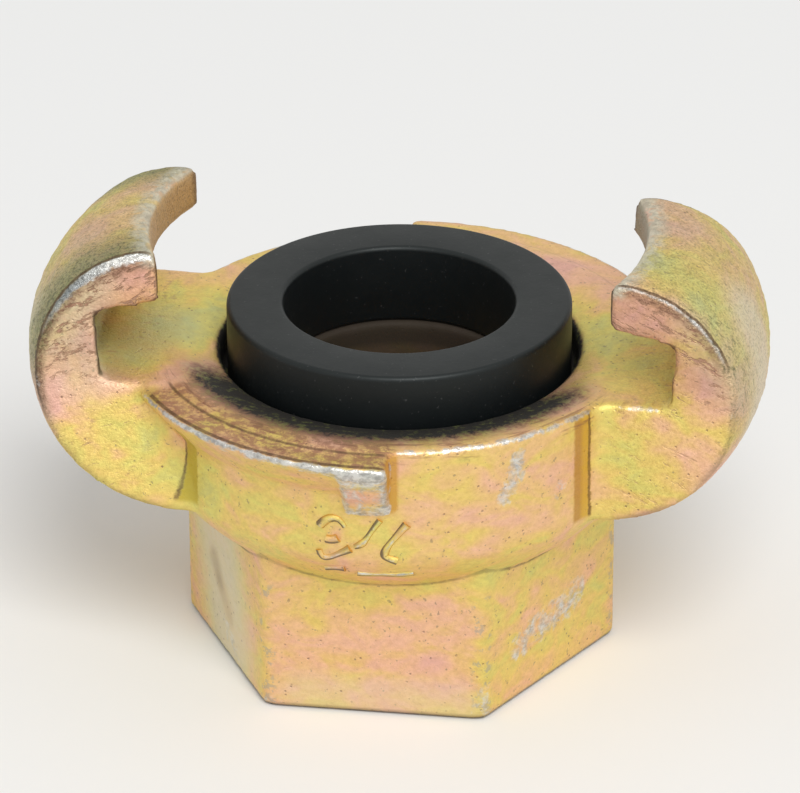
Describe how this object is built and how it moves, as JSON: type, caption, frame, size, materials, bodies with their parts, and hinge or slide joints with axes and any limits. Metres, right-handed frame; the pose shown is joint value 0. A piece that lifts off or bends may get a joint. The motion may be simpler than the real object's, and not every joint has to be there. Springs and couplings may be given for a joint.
{
  "type": "female hose coupling",
  "caption": "Female hose coupling with a hexagonal threaded end, hooked claws, cam lugs and a rubber face seal.",
  "frame": {"origin": "centre of the hexagon's end face, on the hose line's axis", "axes": "+Z along the hose line towards the hooked claws, +X through one claw, +Y across a flat of the hexagon"},
  "size_m": [0.0634, 0.0474, 0.0387],
  "materials": {
    "plated_iron": "rough cast, yellow chromated zinc",
    "rubber": "satin"
  },
  "bodies": {
    "root": {"body": "plated_iron", "seal": "rubber"}
  },
  "joints": []
}
